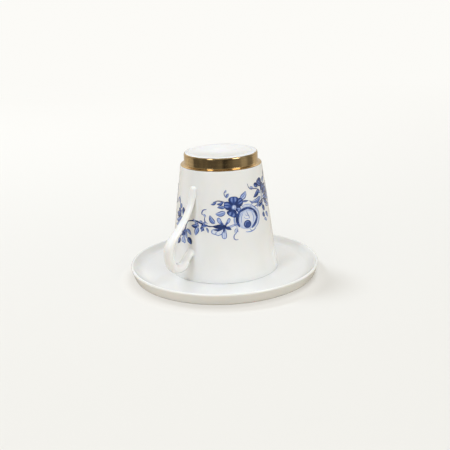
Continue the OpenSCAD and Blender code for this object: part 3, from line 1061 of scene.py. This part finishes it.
# Faces along and across a leaf or petal, along each span of a stem and across it.
LEAF_LONG, LEAF_WIDE = 11, 9
STEM_LONG, STEM_WIDE = 6, 2
# Degrees of a round that one face covers, and the faces across a disc and a band.
ROUND_STEP = 9
DISC_WIDE, BAND_WIDE = 6, 3
# Turn at which an edge of the garland stays sharp.
SHARP = math.radians(40)


class Painter:
    """Lays brush marks on a flat sheet whose x runs round the cup and whose y runs up its wall."""

    def __init__(self, garland, radius):
        self.garland = garland
        self.radius = radius
        self.marks = []

    def flat(self, place):
        """A place of the drawing on the sheet."""
        return Vector((math.radians(place[0]) * self.radius, place[1] * MM + self.garland.height))

    def mark(self, long, wide, layer, place, tone):
        """One brush mark: a grid whose points get their places and the strength of their blue."""
        piece, shares = grid("mark", long, wide)
        pigment = piece.data.attributes.new("pigment", "FLOAT", "POINT")
        height = self.garland.lift + layer * self.garland.layer
        for vertex, value, (t, s) in zip(piece.data.vertices, pigment.data, shares):
            t = (1 - math.cos(math.pi * t)) / 2
            vertex.co = (*place(t, s), height)
            value.value = tone(t, s)
        self.marks.append(piece)

    def stroke(self, points, width, layer, profile, tone, strength, long=LEAF_LONG, wide=LEAF_WIDE):
        """A mark drawn along a line."""
        def place(t, s):
            at, side = drawn(points, t)
            return at + side * (s - 0.5) * width * self.garland.fullness * MM * profile(t)

        self.mark(long, wide, layer, place, lambda t, s: tone(strength, t, s))

    def bowed(self, foot, tip, bow):
        """A line from foot to tip that swings to its left by a share of its length."""
        foot, tip = self.flat(foot), self.flat(tip)
        way = tip - foot
        return foot, (foot + tip) / 2 + Vector((-way.y, way.x)) * bow, tip

    def round(self, layer, middle, half_width, half_height, inner, first, last, tones):
        """A disc, or a band along part of an ellipse that thins out at both ends."""
        middle = self.flat(middle)
        whole = last - first == 360

        def place(t, s):
            a = math.radians(first + (last - first) * t)
            thin = 1 if whole else 0.3 + 0.7 * math.sin(math.pi * t) ** 0.4
            out = 1 - s * (1 - inner) * thin
            return middle + MM * out * Vector((half_width * math.cos(a), half_height * math.sin(a)))

        def tone(t, s):
            along = s if whole else t
            side = 1 - 2 * abs(along - 0.5)
            return tones[0 if along < 0.5 else 2] * (1 - side) + tones[1] * side

        long = max(12, round((last - first) / ROUND_STEP))
        self.mark(long, DISC_WIDE if whole else BAND_WIDE, layer, place, tone)


class CUP_OT_garland(bpy.types.Operator):
    """Paints the blue garland flat, repeats it and lays it round the cup"""

    bl_idname = "cup_set.garland"
    bl_label = "Blue garland"

    def execute(self, context):
        scene = context.scene
        s, garland = scene.cup_sizes, scene.garland_sizes
        painter = Painter(garland, wall_radius(s, s.lip_z + garland.band))
        for row in ROUNDS:
            painter.round(*row)
        for points, width, strength in STEMS:
            line = [painter.flat(place) for place in points]
            long = STEM_LONG * (len(line) - 1)
            painter.stroke(line, width, STEM_LAYER, stem_width, plain_tone, strength, long, STEM_WIDE)
        for rows, profile, tone, layer in (
            (LEAVES, leaf_width, leaf_tone, LEAF_LAYER),
            (PETALS, petal_width, petal_tone, PETAL_LAYER),
            (ACCENTS, leaf_width, plain_tone, ACCENT_LAYER),
        ):
            for foot, tip, width, strength, bow in rows:
                painter.stroke(painter.bowed(foot, tip, bow), width, layer, profile, tone, strength)
        piece = join("blue_garland", painter.marks)
        modify(
            piece, "ARRAY", count=garland.repeats, use_relative_offset=False, use_constant_offset=True,
            constant_offset_displace=(math.tau / garland.repeats * painter.radius, 0, 0),
        )
        modify(piece, "SOLIDIFY", thickness=garland.lift * 4, offset=-1)
        for vertex in piece.data.vertices:
            x, y, z = vertex.co
            a = garland.start + x / painter.radius
            r = wall_radius(s, s.lip_z + y) + z
            vertex.co = (r * math.cos(a), r * math.sin(a), s.lip_z + y)
        merge_and_smooth(piece)
        bpy.ops.object.shade_smooth_by_angle(angle=SHARP)
        dress(piece, blue_finish(scene.finish_colours), "cup", "cup_glaze")
        return {"FINISHED"}


class CUP_OT_stage(bpy.types.Operator):
    """Sets the camera, the floor with its backdrop and the lights"""

    bl_idname = "cup_set.stage"
    bl_label = "Stage"

    def execute(self, context):
        stage = context.scene.stage_settings
        set_camera(context, stage)
        set_lights(stage, set_floor(stage))
        set_world(context, stage)
        context.scene.view_settings.view_transform = "Standard"
        return {"FINISHED"}


# Width of the camera's film in mm, and how near it sees.
FILM_WIDTH = 36
NEAREST_SEEN = 0.01


def direction(stage, turn, height):
    """The way to a place in the room, given in degrees from the camera."""
    a, e = stage.camera_turn + math.radians(turn), math.radians(height)
    return Vector((math.cos(a) * math.cos(e), math.sin(a) * math.cos(e), math.sin(e)))


def set_camera(context, stage):
    """Puts the camera where the photograph was taken from."""
    bpy.ops.object.camera_add()
    camera = context.object
    camera.name = "photo_camera"
    camera.data.lens = stage.lens
    camera.data.sensor_width = FILM_WIDTH
    camera.data.clip_start = NEAREST_SEEN
    spot = direction(stage, 0, 0) * stage.camera_away + Vector(UP) * stage.camera_z
    turn = Matrix.Rotation(stage.camera_turn + math.pi / 2 - stage.camera_aside, 4, "Z")
    tilt = Matrix.Rotation(math.pi / 2 - stage.camera_pitch, 4, "X")
    roll = Matrix.Rotation(stage.camera_roll, 4, "Z")
    camera.matrix_world = Matrix.Translation(spot) @ turn @ tilt @ roll
    context.scene.camera = camera


def set_floor(stage):
    """A pale sheet that lies under the saucer and stands up behind it, shaded as one sweep."""
    deselect()
    bpy.ops.mesh.primitive_plane_add(size=2)
    floor = bpy.context.object
    floor.name = "floor_sweep"
    for vertex in floor.data.vertices:
        vertex.co.x *= stage.floor_side
        vertex.co.y = stage.floor_behind if vertex.co.y > 0 else -stage.floor_ahead
    bpy.ops.object.mode_set(mode="EDIT")
    select_edges(floor, lambda a, b: min(a.co.y, b.co.y) > 0)
    bpy.ops.mesh.extrude_region_move(TRANSFORM_OT_translate={"value": (0, 0, stage.backdrop)})
    bpy.ops.object.mode_set(mode="OBJECT")
    bpy.ops.object.shade_smooth()
    floor.data.transform(Matrix.Rotation(stage.camera_turn + math.pi / 2, 4, "Z"))
    floor.data.materials.append(floor_finish(stage))
    return floor


def floor_finish(stage):
    """Paper that takes the shadow, and that the camera and the gloss see at a set paleness."""
    made, nodes, shader, where = new_finish("pale_paper")
    depth = nodes.dot(where, -direction(stage, 0, 0))
    aside = nodes.dot(where, direction(stage, 90, 0))
    away = nodes.measure("LENGTH", where)
    # The floor turns into the backdrop with its depth behind the object, and all round far off. Its colour
    # is painted shade, darker in front and paler far behind, standing in for the fall-off of the light.
    far = nodes.maths("MAXIMUM", nodes.rise(depth, -0.3, 1.05), nodes.rise(away, 0.35, 1.05))
    tint = nodes.blend(far, stage.floor_front, stage.floor_back)
    grain = nodes.cloud(where, PAPER_GRAIN)
    # The gloss sees the upright part of the backdrop as the camera does.
    gloss = nodes.ray("Is Glossy Ray")
    backdrop = nodes.rise(depth, 0.3, 0.9) * (0.18 + nodes.rise(nodes.dot(where, UP), 0.5, 0.8) * 0.82)
    shown = nodes.maths("MAXIMUM", nodes.ray("Is Camera Ray"), gloss * backdrop)
    lit_tint = nodes.blend(0.13, tint, stage.floor_shade)
    nodes.plug(shader, {
        "Base Color": nodes.blend(shown, stage.floor_bounce, lit_tint),
        "Roughness": 0.85 + grain * 0.1,
        "Specular IOR Level": 0.0,
        "Normal": nodes.bump(grain, 0.02, 0.1 * MM),
    })
    lit = Wire(nodes, shader.outputs[0])
    # Painted light: a ring under the saucer's edge glows a little and lightens the saucer's contact shadow
    # there, except on the side where the shadow falls.
    painted_light_under_edge = nodes.rise(away, 71 * MM, 62.5 * MM) * nodes.rise(aside, 80 * MM, 30 * MM)
    strength = 1.25 - far * 0.25 - painted_light_under_edge * 0.2
    glow = nodes.node("ShaderNodeEmission", sockets={"Color": tint, "Strength": strength})
    glowing = shown * (0.13 + far * far * 0.87 + painted_light_under_edge * 0.62)
    paper = nodes.node("ShaderNodeMixShader", sockets={0: glowing, 1: lit, 2: glow})
    # The gloss looks through the floor in front, so that it shows the room there.
    clear = nodes.node("ShaderNodeBsdfTransparent")
    in_front = nodes.rise(depth, 0.2, 0.12) * nodes.rise(away, 0.17, 0.22)
    both = nodes.node("ShaderNodeMixShader", sockets={0: gloss * in_front, 1: paper, 2: clear})
    nodes.plug(nodes.tree.nodes["Material Output"], {"Surface": both})
    return made


# Tints of the lamps, which make up for the warm room.
COOL = (0.865, 0.96, 1.13)
COOL_RIGHT = (0.9, 0.965, 1.06)
COOL_FLOOR = (0.885, 0.965, 1.095)
# Turn from the camera and height are in degrees, the distance and the width in metres.
Lamp = namedtuple(
    "Lamp", "name turn height away width power tint in_gloss for_floor", defaults=(False, False)
)
LAMPS = (
    Lamp("back_box", -112, 52, 1.0, 0.3, 1.7, COOL),
    Lamp("overhead_box", 160, 75, 1.0, 0.8, 2.75, COOL),
    Lamp("left_box", -39, 40, 1.0, 0.3, 2.85, COOL, in_gloss=True),
    Lamp("right_box", 54, 36, 1.1, 0.45, 3.8, COOL_RIGHT, in_gloss=True),
    Lamp("floor_box", 38, 74, 1.7, 0.6, 14.2, COOL_FLOOR, for_floor=True),
    Lamp("floor_side_box", -114, 55, 2.0, 0.5, 20.0, COOL_FLOOR, for_floor=True),
)
LAMPS_AIM = Vector((0, 0, 40 * MM))
LAMP_IN_GLOSS = (4.5, 4.4, 4.2)
# What the gloss shows round the room, from behind the object over its left: share of a turn and level.
ROOM = (
    (0.0, 0.55), (0.228, 0.5), (0.245, 0.1), (0.5, 0.105), (0.525, 0.035), (0.585, 0.045), (0.61, 0.2),
    (0.66, 0.22), (0.695, 0.45), (0.73, 0.42), (0.76, 0.2), (0.805, 0.2), (0.85, 0.5), (1.0, 0.55),
)
WARM = Vector((1, 0.98, 0.92))


def set_lights(stage, floor):
    """Soft boxes over, behind and on both sides of the object, and two that light the floor alone."""
    groups = {}
    for for_floor, state in ((True, "INCLUDE"), (False, "EXCLUDE")):
        group = bpy.data.collections.new("floor_" + state.lower())
        group.objects.link(floor)
        group.collection_objects[0].light_linking.link_state = state
        groups[for_floor] = group
    for row in LAMPS:
        spot = LAMPS_AIM + row.away * direction(stage, row.turn, row.height)
        facing = (LAMPS_AIM - spot).to_track_quat("-Z", "Y").to_euler()
        bpy.ops.object.light_add(type="AREA", location=spot, rotation=facing)
        lamp = bpy.context.object
        lamp.name = row.name
        lamp.data.shape = "DISK"
        lamp.data.size = row.width
        lamp.data.energy = row.power
        lamp.data.color = row.tint
        lamp.visible_glossy = False
        lamp.light_linking.receiver_collection = groups[row.for_floor]


def set_world(context, stage):
    """A pale backdrop for the camera, warm light from the walls, and for the gloss a room with two lamps."""
    world = bpy.data.worlds.new("pale_room")
    context.scene.world = world
    world.use_nodes = True
    nodes = Nodes(world.node_tree)
    where = nodes.node("ShaderNodeTexCoord", output="Generated")
    ahead = nodes.dot(where, direction(stage, 0, 0))
    side = nodes.dot(where, direction(stage, 90, 0))
    up = nodes.dot(where, UP)
    around = nodes.maths("ARCTAN2", side, ahead) * (1 / math.tau) + 0.5
    stops = [(place, level * WARM) for place, level in ROOM]
    walls = nodes.node("ShaderNodeValToRGB", {"stops": stops}, {"Fac": around})
    blotches = nodes.rise(nodes.cloud(where, 3.2, 3), 0.4, 0.66) * nodes.rise(ahead, -0.5, 0)
    walls = nodes.blend(blotches * 0.6, walls, stage.gloss_blotch)
    mirrored = nodes.blend(nodes.rise(up, 0.6, 0.8), walls, stage.gloss_ceiling)
    for row in LAMPS:
        if row.in_gloss:
            reach = row.width / 2 / row.away
            near = nodes.dot(where, direction(stage, row.turn, row.height))
            box = nodes.rise(near, math.cos(reach * 1.1), math.cos(reach * 0.7))
            mirrored = nodes.blend(box, mirrored, LAMP_IN_GLOSS)
    light = nodes.blend(nodes.rise(up, 0.35, 0.85), stage.room_light, stage.ceiling_light)
    room = nodes.blend(nodes.ray("Is Glossy Ray"), light, mirrored)
    seen = nodes.blend(nodes.ray("Is Camera Ray"), room, stage.floor_back)
    nodes.plug(world.node_tree.nodes["Background"], {"Color": seen, "Strength": 1.0})


class CUP_PT_panel(bpy.types.Panel):
    """Lists the pieces and the sizes that make them"""

    bl_label = "Cup and saucer"
    bl_idname = "CUP_PT_panel"
    bl_space_type = "VIEW_3D"
    bl_region_type = "UI"
    bl_category = "Cup"

    def draw(self, context):
        for operator, group in (*STEPS, (None, "finish_colours")):
            box = self.layout.box()
            if operator:
                box.operator(operator.bl_idname)
            settings = getattr(context.scene, group)
            for key in settings.bl_rna.properties.keys():
                if key not in {"rna_type", "name"}:
                    box.prop(settings, key)


GROUPS = {
    "saucer_sizes": SaucerSizes,
    "cup_sizes": CupSizes,
    "gilding_sizes": GildingSizes,
    "handle_sizes": HandleSizes,
    "garland_sizes": GarlandSizes,
    "finish_colours": FinishColours,
    "stage_settings": StageSettings,
}
STEPS = (
    (CUP_OT_saucer, "saucer_sizes"),
    (CUP_OT_cup, "cup_sizes"),
    (CUP_OT_handle, "handle_sizes"),
    (CUP_OT_gilding, "gilding_sizes"),
    (CUP_OT_garland, "garland_sizes"),
    (CUP_OT_stage, "stage_settings"),
)


def register():
    for name, group in GROUPS.items():
        bpy.utils.register_class(group)
        setattr(bpy.types.Scene, name, bpy.props.PointerProperty(type=group))
    for operator, _ in STEPS:
        bpy.utils.register_class(operator)
    bpy.utils.register_class(CUP_PT_panel)


def unregister():
    bpy.utils.unregister_class(CUP_PT_panel)
    for operator, _ in reversed(STEPS):
        bpy.utils.unregister_class(operator)
    for name, group in reversed(GROUPS.items()):
        delattr(bpy.types.Scene, name)
        bpy.utils.unregister_class(group)


def main():
    register()
    bpy.ops.cup_set.saucer()
    bpy.ops.cup_set.cup()
    bpy.ops.cup_set.handle()
    bpy.ops.cup_set.gilding()
    bpy.ops.cup_set.garland()
    bpy.ops.cup_set.stage()


if __name__ == "__main__":
    main()
